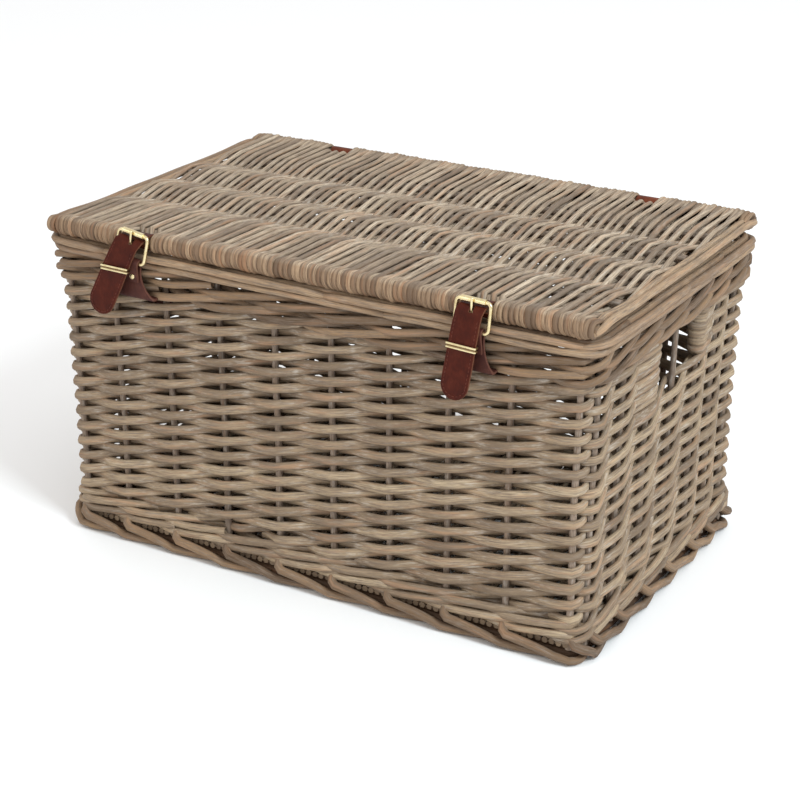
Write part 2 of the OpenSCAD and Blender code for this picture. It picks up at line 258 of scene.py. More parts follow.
STREAK_BROWN = (0.17, 0.12, 0.085)
BARK_RED = (0.40, 0.22, 0.12)
LIME_WHITE = (0.58, 0.54, 0.48)
# Multiplied in as painted shade where a rod's tuck channel is negative.
PAINTED_SHADE_BROWN = (0.72, 0.61, 0.52)


def willow(name, tones, blush, wash=0.5):
    """Peeled, stained and lime-washed willow. The grain follows each rod."""
    material, tree, shader = new_material(name)
    along = attribute(tree, "grain", "Vector")
    tuck_and_shade = attribute(tree, "tuck_and_shade")
    slow = noise_node(tree, along, 14, 2, (1, 12, 12))
    shifted = sums(tree, "SUBTRACT", attribute(tree, "tone"), 0.35, clamp=False)
    colour = ramp(tree, sums(tree, "MULTIPLY_ADD", slow, 0.7, shifted), tones)
    streak = noise_node(tree, along, 60, 4, (1, 26, 26), 0.65)
    colour = mixed(tree, grey_ramp(tree, streak, 0.36, 0.60), STREAK_BROWN, colour)
    fine = noise_node(tree, along, 240, 3, (1, 9, 9), 0.6)
    pitted = shade_ramp(tree, fine, 0.3, 0.7, 0.35)
    colour = mixed(tree, 0.35, colour, pitted, "MULTIPLY")
    patches = noise_node(tree, along, 22, 3, (1, 14, 14))
    blushed = sums(tree, "MULTIPLY", grey_ramp(tree, patches, 0.52, 0.72), blush)
    colour = mixed(tree, blushed, colour, BARK_RED)
    limed = noise_node(tree, along, 90, 4, (1, 7, 7), 0.7)
    limed = grey_ramp(tree, limed, 0.50, 0.74)
    held = sums(tree, "MULTIPLY", sums(tree, "ADD", tuck_and_shade, 0.25), limed)
    colour = mixed(tree, sums(tree, "MULTIPLY", held, wash), colour, LIME_WHITE)
    # Where the tuck channel is negative the colour is multiplied towards a brown: painted shade on the lid's
    # rolled ends and corners and on the rods inside the foot.
    painted_shade = sums(tree, "MULTIPLY", tuck_and_shade, -1.0)
    shade_browned = mixed(tree, 1.0, colour, PAINTED_SHADE_BROWN, "MULTIPLY")
    colour = mixed(tree, painted_shade, colour, shade_browned)
    tree.links.new(colour, shader.inputs["Base Color"])
    roughened(tree, shader, streak, 0.60, 0.82)
    shader.inputs["Specular IOR Level"].default_value = 0.32
    grooves = sums(tree, "MULTIPLY", streak, 0.7)
    height = sums(tree, "ADD", grooves, sums(tree, "MULTIPLY", fine, 0.3))
    bumped(tree, shader, height, 0.45, 0.0004)
    return material


def toned(colours, red, green, blue):
    return [(at, (r * red, g * green, b * blue)) for at, (r, g, b) in colours]


GREY = toned([(0.0, (0.165, 0.118, 0.082)), (0.3, (0.27, 0.20, 0.14)), (0.55, (0.385, 0.29, 0.205)),
              (0.8, (0.475, 0.37, 0.265)), (1.0, (0.56, 0.45, 0.33))], 0.90, 0.86, 0.76)
LID = toned([(0.0, (0.17, 0.125, 0.09)), (0.3, (0.29, 0.215, 0.155)), (0.55, (0.40, 0.31, 0.225)),
             (0.8, (0.49, 0.385, 0.285)), (1.0, (0.57, 0.465, 0.355))], 1.13, 1.13, 1.09)
TAN = toned([(0.0, (0.22, 0.14, 0.085)), (0.3, (0.34, 0.225, 0.14)), (0.6, (0.45, 0.315, 0.20)),
             (1.0, (0.56, 0.42, 0.285))], 0.86, 0.82, 0.76)
# Darker willow, its factors darkened further as painted shade from the lid's overhang; used on the rim
# waling, the foot and the lid's edge sticks.
SHADED_DARK = toned([(0.0, (0.12, 0.08, 0.05)), (0.3, (0.20, 0.14, 0.09)), (0.6, (0.31, 0.22, 0.145)),
              (1.0, (0.44, 0.325, 0.22))], 0.74, 0.63, 0.50)
STAKE = [(0.0, (0.13, 0.095, 0.07)), (0.5, (0.25, 0.185, 0.14)), (1.0, (0.36, 0.28, 0.22))]
grey_willow = willow("washed_willow", GREY, wash=0.6, blush=0.5)
lid_willow = willow("lid_willow", LID, blush=0.55)
shaded_dark_willow = willow("shaded_dark_willow", SHADED_DARK, wash=0.25, blush=0.4)
tan_willow = willow("tan_willow", TAN, wash=0.35, blush=0.5)
stake_willow = willow("stake_willow", STAKE, wash=0.6, blush=0.2)


# ---- rods ----

def rods(name, runs, body, material, stands_for, sides=8, flat=(1, 1, 1)):
    """Bent rods as one piece: each run is (points, radii, tone, tucks_and_shade); negative tucks_and_shade
    values are painted shade.

    Flat gives how far they are pressed out of round along each axis.
    """
    curve = bpy.data.curves.new(name, "CURVE")
    curve.dimensions = "3D"
    curve.bevel_depth = 1.0
    curve.bevel_resolution = sides // 2 - 2
    curve.use_fill_caps = True
    for points, radii, tone, tucks_and_shade in runs:
        spline = curve.splines.new("POLY")
        spline.points.add(len(points) - 1)
        for knot, p, r in zip(spline.points, points, radii):
            knot.co = (p[0], p[1], p[2], 1)
            knot.radius = r
    bpy.ops.object.select_all(action="DESELECT")
    piece = bpy.data.objects.new(name, curve)
    scene.collection.objects.link(piece)
    bpy.context.view_layer.objects.active = piece
    piece.select_set(True)
    bpy.ops.object.convert(target="MESH")
    piece = bpy.context.object
    piece.name = name
    mesh = piece.data
    # The cut ends come first in the mesh, the last rod's before the first one's.
    tones = [run[2] * 0.6 for run in reversed(runs) for _ in range(2 * sides)]
    tucked = [0.2] * len(tones)
    grains = [0.0, 0.0, 0.0] * len(tones)
    for k, (points, radii, tone, tucks_and_shade) in enumerate(runs):
        length = 3.17 * k
        for i, (r, tuck_and_shade) in enumerate(zip(radii, tucks_and_shade)):
            if i:
                length += (Vector(points[i]) - Vector(points[i - 1])).length
            for j in range(sides):
                a = 2 * pi * j / sides
                tones.append(tone)
                tucked.append(tuck_and_shade)
                grains += (length, r * cos(a), r * sin(a))
    if flat != (1, 1, 1):
        centres = [run[0][end] for run in reversed(runs) for end in (0, -1) for _ in range(sides)]
        centres += [point for run in runs for point in run[0] for _ in range(sides)]
        squeeze = Vector(flat)
        for corner, centre in zip(mesh.vertices, centres):
            corner.co = Vector(centre) + (corner.co - Vector(centre)) * squeeze
    # The tuck channel: how far each place is tucked in, where lime wash gathers; negative values are painted
    # shade.
    mesh.attributes.new("tone", "FLOAT", "POINT").data.foreach_set("value", tones)
    mesh.attributes.new("tuck_and_shade", "FLOAT", "POINT").data.foreach_set("value", tucked)
    mesh.attributes.new("grain", "FLOAT_VECTOR", "POINT").data.foreach_set("vector", grains)
    bpy.ops.object.shade_smooth()
    mesh.materials.clear()
    mesh.materials.append(material)
    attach(piece, body)
    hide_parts(*stands_for)
    return piece


def taper(points, thick, thin, seed):
    """Radii from the butt of a rod to its tip, with the small swellings that willow has."""
    n = len(points)
    swell = [1 + 0.07 * noise.noise(Vector((i * 0.31, seed * 1.7, 0))) for i in range(n)]
    return [(thick + (thin - thick) * i / max(1, n - 1)) * swell[i] for i in range(n)]


def tone():
    return min(1, max(0, chance.gauss(0.50, 0.25)))


# ---- side weave ----

# How far a side rod swings in and out, how fast it climbs, and how many start round the foot.
AMP = 0.0054
SLOPE = 0.179
LINES = 40
WEAVE_R = 0.00335
# Where a rod that turns back at a hand-hole lies beside itself.
TAIL = (0.026, 0.018, 0.009)
TAIL_WAVE = 0.054
HOLES = []
ENDS = ((LEGS[0] + ARC, END_Y[1], END_Y[3]), (2 * LEGS[0] + LEGS[1] + 3 * ARC, -END_Y[3], -END_Y[1]))
for leg_start, near, far in ENDS:
    HOLES.append((leg_start + LEGS[1] / 2 + near, leg_start + LEGS[1] / 2 + far))


def kink(t):
    """From 1 to -1 as a stiff rod goes between two stakes: nearly straight, with a bend at each stake."""
    return 0.6 * (1 - 2 * t) + 0.4 * cos(pi * t)


def side_rod(k):
    """One rod of the side weave, as the stretches that are left between the hand-holes."""
    first = k * ROUND / LINES
    height = WALE_Z - WEAVE_Z
    start, end = first - 0.012, first + (height + 0.004) / SLOPE
    z_at = lambda s: WEAVE_Z - 0.001 + SLOPE * (s - first)
    pieces = [(start, end, False, False)]
    for a, b in HOLES:
        for shift in (-ROUND, 0, ROUND):
            a1, b1 = a + shift, b + shift
            if z_at((a1 + b1) / 2) < HOLE_Z or z_at(a1) > WALE_Z + 0.004:
                continue
            cut = []
            for p, q, hook_p, hook_q in pieces:
                if q <= a1 or p >= b1:
                    cut.append((p, q, hook_p, hook_q))
                    continue
                if p < a1 - 0.01:
                    cut.append((p, a1, hook_p, True))
                if q > b1 + 0.01:
                    cut.append((b1, q, True, hook_q))
            pieces = cut
    runs = []
    base_r = WEAVE_R + chance.gauss(0, 0.00022)
    shade = tone()

    def place(s, out, lift=0.0):
        z = z_at(s) + lift
        p = wall_point(s, out, z)
        z += sway(p, 0.07, 0.0017) + sway((s * 9, k * 3.3, 0), 1, 0.0007)
        return wall_point(s, out + sway((s * 11, k * 5.1, 4), 1, 0.0005), z)

    def sign(i):
        return 1 if (i + k) % 2 == 0 else -1

    for p, q, hook_p, hook_q in pieces:
        if q - p < 0.02:
            continue
        points, tucks_and_shade = [], []
        hook = STAKE_R + base_r - 0.0004
        if hook_p:
            i = gap_at(p + 1e-6)[0]
            for t in TAIL:
                points.append(place(p + t, -sign(i) * hook * cos(pi * t / TAIL_WAVE)))
                tucks_and_shade.append(0.8)
            for t in range(1, 6):
                a = pi * t / 6
                points.append(place(p - hook * sin(a), -sign(i) * hook * cos(a)))
                tucks_and_shade.append(0.3)
        for s in stops(p, q):
            i, t = gap_at(s)
            out = AMP * sign(i) * kink(t)
            ends = min(1, (s - start) / 0.02, (end - s) / 0.02)
            if not hook_p or s - start > 0.02:
                out = out * ends - 0.004 * (1 - ends)
            points.append(place(s, out))
            tucks_and_shade.append(1 - abs(cos(pi * t)))
        if hook_q:
            i = gap_at(q + 1e-6)[0]
            for t in range(1, 6):
                a = pi * t / 6
                points.append(place(q + hook * sin(a), sign(i) * hook * cos(a)))
                tucks_and_shade.append(0.3)
            for t in (0.0,) + TAIL[::-1]:
                points.append(place(q - t, -sign(i) * hook * cos(pi * t / TAIL_WAVE)))
                tucks_and_shade.append(0.8)
        runs.append((points, taper(points, base_r * 1.06, base_r * 0.92, k), shade, tucks_and_shade))
    return runs


side_runs = [run for k in range(LINES) for run in side_rod(k)]
rods("woven_walls", side_runs, "basket", grey_willow,
     ("front_weave", "right_weave", "back_weave", "left_weave"), flat=(0.78, 0.78, 1.14))


# ---- stakes ----

def stake_run(x, y, low, high):
    seed = chance.uniform(0, 50)
    points = []
    for i in range(13):
        z = low + (high - low) * i / 12
        dx, dy = sway((0, 0, z), 0.05, 0.0008, seed), sway((0, 0, z), 0.05, 0.0006, seed + 9)
        points.append(splayed(x + dx, y + dy, z))
    return points, taper(points, STAKE_R, STAKE_R * 0.82, seed), tone(), [0.5] * 13


low, high = front_low[2], front_high[2]
WALLS = {"front": [(x, -HALF_Y) for x in FRONT_X], "back": [(x, HALF_Y) for x in FRONT_X],
         "left": [(-HALF_X, y) for y in END_Y], "right": [(HALF_X, y) for y in END_Y]}
for wall, places in WALLS.items():
    rods("upright_" + wall, [stake_run(x, y, low, high) for x, y in places], "basket",
         stake_willow, (wall + "_stakes",))
POSTS = ((POST_X, HALF_Y), (HALF_X, POST_Y))
corner_places = [(sx * x, sy * y) for sx in (-1, 1) for sy in (-1, 1) for x, y in POSTS]
rods("upright_corners", [stake_run(x, y, low, high) for x, y in corner_places], "basket",
     stake_willow, ("corner_posts",))


# ---- waling ----

WALE_R = 0.0033
WALE_SPAN = 9


def wale_rounds(levels, out_base, reach, tilt=0.003):
    """Three-rod waling: each rod passes in front of two stakes and behind one, four rods end to end."""
    runs = []
    for level, z in enumerate(levels):
        for w in range(3):
            for part in range(4):
                shade = tone()
                begin = w + part * WALE_SPAN + level
                end = w + level + COUNT + 1 if part == 3 else begin + WALE_SPAN + 1
                points, tucks_and_shade = [], []
                for s in stops(stake_s(begin), stake_s(end), 0.008):
                    i, t = gap_at(s)
                    phase = (i + t - w - level) % 3
                    inside = 0.5 + 0.5 * cos(2 * pi * phase / 3)
                    out = out_base + reach * (1 - 2 * inside ** 1.5)
                    rise = tilt * sin(2 * pi * (phase - 1.5) / 3)
                    p = wall_point(s, out, z + rise)
                    lift = sway(p, 0.05, 0.001, w * 3 + level)
                    points.append(wall_point(s, out + sway(p, 0.04, 0.0006, w), z + rise + lift))
                    tucks_and_shade.append(inside)
                radii = taper(points, WALE_R * 1.06, WALE_R * 0.9, chance.uniform(0, 90))
                runs.append((points, radii, shade, tucks_and_shade))
    return runs


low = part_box("bottom_wale")[0][2]
foot_wale = wale_rounds([low + 0.0035, low + 0.0115], 0.0, 0.0064)
rods("waled_foot", foot_wale, "basket", grey_willow, ("bottom_wale",), flat=(0.85, 0.85, 1.05))
# The rim waling gets the darker willow, which carries painted shade for the overhang of the lid.
rim_wale = wale_rounds([WALE_Z + 0.0045, WALE_Z + 0.0155], 0.0012, 0.0072, tilt=0.0045)
rods("waled_rim", rim_wale, "basket", shaded_dark_willow, ("top_wale",), flat=(0.85, 0.85, 1.0))


# ---- borders ----

# Each lane of the rim: how far out it lies, its height and the thickness of its rods.
RIM_LANES = ((0.0098, 0.2605, 0.0032), (0.0088, 0.2546, 0.0031), (0.0030, 0.2612, 0.0030),
             (-0.0040, 0.2600, 0.0031), (-0.0052, 0.2545, 0.0030))
RIM_SPAN = 4
RIM_LAP = 0.012


def rim_border():
    """The rolled rim: long rods laid side by side, each with its ends tucked in behind the next."""
    runs = []
    for lane, (side, level, thick) in enumerate(RIM_LANES):
        for part in range(9):
            a = stake_s(part * RIM_SPAN + lane) - RIM_LAP
            b = stake_s(min(part * RIM_SPAN + RIM_SPAN, COUNT) + lane) + RIM_LAP
            points = []
            for s in stops(a, b, 0.011):
                tucked = 1 - smooth(min(s - a, b - s) / 0.03)
                out = side - copysign(0.0055, side) * tucked
                z = level - 0.0035 * tucked
                p = flat_point(s, out, z)
                p = flat_point(s, out + sway(p, 0.05, 0.0006, lane), z + sway(p, 0.07, 0.0010, lane * 7))
                points.append(splayed(*p))
            radii = taper(points, thick * 1.03, thick * 0.92, lane * 9 + part)
            runs.append((points, radii, tone(), [0.25] * len(points)))
    return runs


# The start of a foot rod behind its stake, as (along, out, z).
FOOT_START = [(0.000, -0.001, 0.0225), (0.0010, 0.0040, 0.0195), (0.0025, 0.0078, 0.0165),
              (0.006, 0.0094, 0.0140)]


def foot_rods():
    """The foot border: each rod comes down from behind a stake, slants across and turns in under it.

    Two plain rods run round inside it at the darkest tone, browned all along as painted shade for the
    crevices.
    """
    runs = []
    for i in range(COUNT):
        a, b, c = stake_s(i), stake_s(i + 1), stake_s(i + 2)
        long, far = b - a, c - b
        way = list(FOOT_START)
        for t in (0.17, 0.33, 0.5, 0.67, 0.83, 1.0):
            z = 0.0140 - 0.0092 * t + 0.0010 * sin(pi * t)
            way.append((0.006 + (long - 0.006) * t, 0.0094 - 0.0008 * t, z))
        for t in (0.2, 0.4, 0.6, 0.8):
            way.append((long + far * t, 0.0086 - 0.0095 * t ** 1.3, 0.0048 - 0.0016 * t))
        points = [wall_point(a + along, out, z) for along, out, z in way]
        runs.append((points, taper(points, 0.0042, 0.0028, i), tone(), [0.35] * len(points)))
    # Dark rods put behind the foot as painted shade: darkest tone and browned all along.
    for out, level, thick in ((-0.0035, 0.0048, 0.0044), (-0.0060, 0.0105, 0.0036)):
        points = [wall_point(s, out, level) for s in stops(0, ROUND, 0.012)]
        runs.append((points, [thick] * len(points), 0.0, [-1.0] * len(points)))
    return runs


rods("rim_rods", rim_border(), "basket", tan_willow, ("top_border",))
rods("foot_rods", foot_rods(), "basket", shaded_dark_willow, ("foot_border",))


# ---- base ----

BASE_Z = middle("base_weave", 2)
BASE_Y = [-0.122, -0.075, -0.025, 0.025, 0.075, 0.122]
BASE_COUNT = 80
BASE_HALF = 0.2345


def base_rods():
    runs = []
    for j in range(BASE_COUNT):
        x = -BASE_HALF + 2 * BASE_HALF * j / (BASE_COUNT - 1) + chance.uniform(-0.0004, 0.0004)
        points, tucks_and_shade = [], []
        marks = [-HALF_Y - 0.003] + BASE_Y + [HALF_Y + 0.003]
        for i, (a, b) in enumerate(zip(marks, marks[1:])):
            first = 0 if i == 0 else (1 if (i + j) % 2 else -1)
            last = 0 if i == len(marks) - 2 else (1 if (i + 1 + j) % 2 else -1)
            for k in range(6 if i < len(marks) - 2 else 7):
                t = k / 6
                bow = first + (last - first) * (0.5 - 0.5 * cos(pi * t))
                points.append((x + sway((x, a + t, 0), 0.03, 0.0006), a + (b - a) * t, BASE_Z + 0.0044 * bow))
                tucks_and_shade.append(1 - abs(bow))
        runs.append((points, taper(points, 0.0026, 0.0023, j), tone(), tucks_and_shade))
    return runs


rods("base_rods", base_rods(), "basket", grey_willow, ("base_weave",), sides=6)
def base_bar(y):
    points = [(-0.243 + 0.486 * i / 12, y + sway((i, y * 40, 0), 1, 0.0006), BASE_Z) for i in range(13)]
    return points, [0.003] * 13, tone(), [0.5] * 13


rods("base_bars", [base_bar(y) for y in BASE_Y], "basket", stake_willow, ("base_sticks",))


# ---- lid ----

LID_REACH = 0.0055
ROLL_STEPS = 8


def lid_rods():
    """Rods from front to back, over and under the inner sticks and wrapped round the outer two."""
    widths = []
    total = 0
    while total < 2 * LID_X - 0.002:
        w = min(0.0058, max(0.0033, chance.gauss(0.00415, 0.00045)))
        widths.append(w)
        total += w
    if len(widths) % 2:
        widths.append(0.004)
        total += 0.004
    fit = 2 * LID_X / total
    runs = []
    x = -LID_X
    for j, w in enumerate(widths):
        w *= fit
        cx = x + w / 2
        x += w
        r = w / 2 + 0.0001
        slant = 0.0035 * smooth((abs(abs(cx) - HINGE_X) - 0.013) / 0.02)
        turn = WRAP + chance.uniform(-0.0004, 0.0006)
        bar_front = any(abs(cx - side * STRAP_X) < 0.0124 for side in SIDES)
        bar_back = any(abs(cx - side * HINGE_X) < 0.0115 for side in SIDES)
        points, tucks_and_shade = [], []

        def put(dx, y, z, tuck_and_shade):
            wave = sway((cx * 3, y, 0), 0.08, 0.0016) + sway((cx * 40, y * 12, 3), 1, 0.0007)
            points.append((cx + dx + wave, y, z + sway((cx * 60, y * 20, 7), 1, 0.0005)))
            tucks_and_shade.append(tuck_and_shade)

        def under(dx, y, inset):
            """A place on the end of the rod that is tucked away under the lid."""
            put(dx, y, LID_Z - WRAP - r * 0.2 + 0.004 * smooth((inset - 0.01) / 0.03), 0.7)

        front, back = -LID_Y, LID_Y
        if not bar_front:
            for y in (front + 0.040, front + 0.028, front + 0.014):
                under(slant, y, y - front)
            for k in range(ROLL_STEPS + 1):
                a = -pi / 2 - pi * k / ROLL_STEPS
                dx = slant * (1 - k / ROLL_STEPS)
                # Painted shade: the front roll is browned darkest over its underside and front face and less
                # over its top.
                tuck_and_shade = -1.0 if k < 7 else -0.4
                put(dx, front + turn * cos(a), LID_Z + turn * sin(a), tuck_and_shade)
        else:
            put(0, front + 0.013, LID_Z - 0.002, 0.8)
        marks = [front] + INNER_Y + [back]
        for i, (a, b) in enumerate(zip(marks, marks[1:])):
            first = WRAP if i == 0 else (LID_REACH if (i + j) % 2 else -LID_REACH)
            last = WRAP if i == len(marks) - 2 else (LID_REACH if (i + 1 + j) % 2 else -LID_REACH)
            for k in range(1 if i == 0 else 0, 8):
                t = k / 8
                y = a + (b - a) * t
                if bar_front and y < front + 0.014 or bar_back and y > back - 0.0095:
                    continue
                bow = first + (last - first) * (0.5 - 0.5 * kink(t))
                put(0, y, LID_Z + bow, 1 - abs(bow) / 0.0064)
        if not bar_back:
            for k in range(ROLL_STEPS + 1):
                a = pi / 2 - pi * k / ROLL_STEPS
                dx = -slant * k / ROLL_STEPS
                # Painted shade, lighter, over the back roll.
                put(dx, back + turn * cos(a), LID_Z + turn * sin(a), -0.3)
            for y in (back - 0.014, back - 0.028, back - 0.040):
                under(-slant, y, back - y)
        else:
            put(0, back - 0.0085, LID_Z + 0.001, 0.8)
            put(0, back - 0.0085, LID_Z - 0.004, 0.9)
        runs.append((points, taper(points, r * 1.03, r * 0.97, j), tone(), tucks_and_shade))
    return runs


def corner_wraps():
    """Two short rods at each corner of the lid, bent like a C round the end of its stick."""
    runs = []
    for side in (-1, 1):
        for end in (-1, 1):
            for reach, drop in ((0.0021, 0.0), (0.0062, 0.0006)):
                x, y0 = side * (LID_X + reach), end * LID_Y
                turn = WRAP - 0.0004 - drop
                points = [(x, y0 - end * 0.017, LID_Z - turn + 0.0035)]
                points.append((x, y0 - end * 0.008, LID_Z - turn + 0.0008))
                for k in range(ROLL_STEPS + 1):
                    a = pi * k / ROLL_STEPS
                    points.append((x, y0 + end * turn * sin(a), LID_Z - turn * cos(a)))
                points.append((x, y0 - end * 0.008, LID_Z + turn - 0.0010))
                points.append((x, y0 - end * 0.015, LID_Z + 0.0012))
                # The corner wraps are browned as painted shade.
                runs.append((points, [0.0021] * len(points), tone(), [-0.9] * len(points)))
    return runs


def stick_run(y, r, half):
    points = [(-half + 2 * half * i / 16, y, LID_Z) for i in range(17)]
    return points, [r] * 17, tone(), [0.4] * 17


rods("lid_rods", lid_rods() + corner_wraps(), "lid", lid_willow, ("lid_weave",),
     flat=(1.08, 0.85, 0.85))
inner_sticks = [stick_run(y, 0.003, LID_X) for y in INNER_Y]
rods("lid_bars", inner_sticks, "lid", stake_willow, ("lid_inner_sticks",))
for edge, y in (("front", -LID_Y), ("back", LID_Y)):
    node = "lid_" + edge + "_stick"
    stick = stick_run(y, STICK_R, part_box(node)[1][0])
    rods("lid_" + edge + "_bar", [stick], "lid", shaded_dark_willow, (node,))

END_STEPS = 24


def end_rods(side, inner, outer):
    """The pair of rods along one end of the lid, tucked into the roll at both corners."""
    runs = []
    for k, x in enumerate((inner + 0.003, outer - 0.003)):
        corner = [(-0.0110, 0.0020 - 0.0012 * k, -0.0030), (-0.0068, 0.0002 - 0.0016 * k, -0.0026),
                  (-0.0030, -0.0004 - 0.0018 * k, -0.0020), (-0.0004, 0.0022 - 0.0018 * k, -0.0010),
                  (0.0006, 0.0068 - 0.001 * k, 0.0), (0.0006, 0.014, 0.0012)]
        points = [(side * (x + dx), -LID_Y + dy, LID_Z + dz) for dx, dy, dz in corner]
        for i in range(2, END_STEPS - 1):
            y = -LID_Y + 2 * LID_Y * i / END_STEPS
            raised = 0.0022 * (1 - smooth(min(i, END_STEPS - i) / 5))
            z = LID_Z + raised + sway((y * 16, k, 5), 1, 0.0012)
            points.append((side * (x + sway((y * 20, k, 0), 1, 0.0009)), y, z))
        points += [(side * (x + dx), LID_Y - dy, LID_Z + dz) for dx, dy, dz in reversed(corner)]
        runs.append((points, taper(points, 0.0031, 0.0028, k), tone(), [0.2] * len(points)))
    return runs


for side, word in SIDES.items():
    node = "lid_" + word + "_end_rods"
    low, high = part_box(node)
    inner, outer = sorted((abs(low[0]), abs(high[0])))
    binding = end_rods(side, inner, outer)
    rods(node.replace("rods", "binding"), binding, "lid", tan_willow, (node,))


# ---- leather and brass ----

def leather(name, base, dark, worn, edge):
    """Smooth hide: clouded colour, fine pores and creases, and a burnished cut edge."""
    material, tree, shader = new_material(name)
    place = tree.nodes.new("ShaderNodeTexCoord").outputs["Object"]
    cloud = noise_node(tree, place, 110, 4)
    creases = noise_node(tree, place, 700, 3, (1, 1, 0.35))
    pores = tree.nodes.new("ShaderNodeTexVoronoi")
    pores.feature = "DISTANCE_TO_EDGE"
    pores.inputs["Scale"].default_value = 1500
    tree.links.new(place, pores.inputs["Vector"])
    colour = ramp(tree, cloud, [(0.3, dark), (0.55, base), (0.75, worn)])
    creased = shade_ramp(tree, creases, 0.35, 0.65, 0.45)
    colour = mixed(tree, 0.35, colour, creased, "MULTIPLY")
    colour = mixed(tree, attribute(tree, "rim"), colour, edge)
    tree.links.new(colour, shader.inputs["Base Color"])
    roughened(tree, shader, creases, 0.50, 0.38)
    shader.inputs["Specular IOR Level"].default_value = 0.12
    folds = sums(tree, "MULTIPLY", creases, 0.5)
    height = sums(tree, "ADD", pores.outputs["Distance"], folds)
    bumped(tree, shader, height, 0.35, 0.0002)
    return material


strap_leather = leather("strap_leather", (0.060, 0.0085, 0.0032), (0.042, 0.0060, 0.0026),
                        (0.080, 0.0140, 0.0060), (0.13, 0.050, 0.028))
body_leather = leather("body_leather", (0.075, 0.024, 0.017), (0.050, 0.016, 0.013),
                       (0.100, 0.036, 0.026), (0.105, 0.043, 0.030))
hinge_leather = leather("hinge_leather", (0.130, 0.030, 0.012), (0.085, 0.020, 0.010),
                        (0.18, 0.050, 0.022), (0.24, 0.10, 0.05))
thread = leather("waxed_thread", (0.105, 0.025, 0.015), (0.08, 0.019, 0.012),
                 (0.13, 0.036, 0.022), (0.105, 0.025, 0.015))


def pale_brass():
    """Lightly brushed and tarnished brass, with painted shade in the groove of a keeper."""
    material, tree, shader = new_material("pale_brass")
    place = tree.nodes.new("ShaderNodeTexCoord").outputs["Object"]
    shader.inputs["Metallic"].default_value = 1.0
    tarnish = noise_node(tree, place, 260, 3)
    brushed = noise_node(tree, place, 900, 2, (0.15, 1, 1))
    gold = ramp(tree, tarnish, [(0.3, (0.70, 0.56, 0.30)), (0.7, (0.88, 0.75, 0.46))])
    gold = mixed(tree, 0.3, gold, shade_ramp(tree, brushed, 0.3, 0.7, 0.5), "MULTIPLY")
    # Painted shade: the groove of a keeper is darkened to a deep brown.
    gold = mixed(tree, attribute(tree, "groove"), gold, (0.16, 0.095, 0.04))
    tree.links.new(gold, shader.inputs["Base Color"])
    roughened(tree, shader, tarnish, 0.31, 0.19)
    bumped(tree, shader, brushed, 0.2, 0.0001)
    return material


brass = pale_brass()
for node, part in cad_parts.items():
    if any(word in node for word in ("buckle", "keeper", "rivets")):
        part.data.materials.clear()
        part.data.materials.append(brass)

# The height of the strap's bend at the roller, and the heel bar as (y, z).
BEND_Z = 0.2816
HEEL = (-0.161, 0.259)
# For each side: the lean of the buckle and how much further the strap leans, in degrees.
LEANS = {-1: (9.0, 16.0), 1: (2.0, 6.0)}
STRAP_END = {-1: 0.2190, 1: 0.2182}
STRAP_HELD = 0.0215
STRAP_WIDE = {-1: 0.0235, 1: 0.0226}
# For each side: x, z, lean and width of the keeper.
KEEPERS = {-1: (-0.1664, 0.2528, 0.8, 0.0268), 1: (0.1483, 0.2480, 2.5, 0.0252)}
KEEPER_Y = -0.16715
# Holes are cut only in the leather in front of this, not in the back ply.
FRONT_PLY_Y = -0.1588
STITCH_START = 0.0013
STITCH_STEP = 0.0031
TAB_W = 0.020
STRAP_T = 0.0022


def across_at(lean):
    """The direction across a strip that leans by so many degrees."""
    a = radians(lean)
    return Vector((cos(a), 0, -sin(a)))


def pick(piece, test):
    """Selects the corners of a piece in edit mode that pass a test of their place."""
    shape = bmesh.from_edit_mesh(piece.data)
    for corner in shape.verts:
        corner.select_set(bool(test(corner.co)))
    shape.select_flush_mode()
    bmesh.update_edit_mesh(piece.data)


def pick_faces(piece, test):
    shape = bmesh.from_edit_mesh(piece.data)
    bpy.ops.mesh.select_mode(type="FACE")
    for face in shape.faces:
        face.select_set(bool(test(face.calc_center_median())))
    bmesh.update_edit_mesh(piece.data)


def apply_all(piece):
    bpy.ops.object.mode_set(mode="OBJECT")
    for modifier in list(piece.modifiers):
        bpy.ops.object.modifier_apply(modifier=modifier.name)


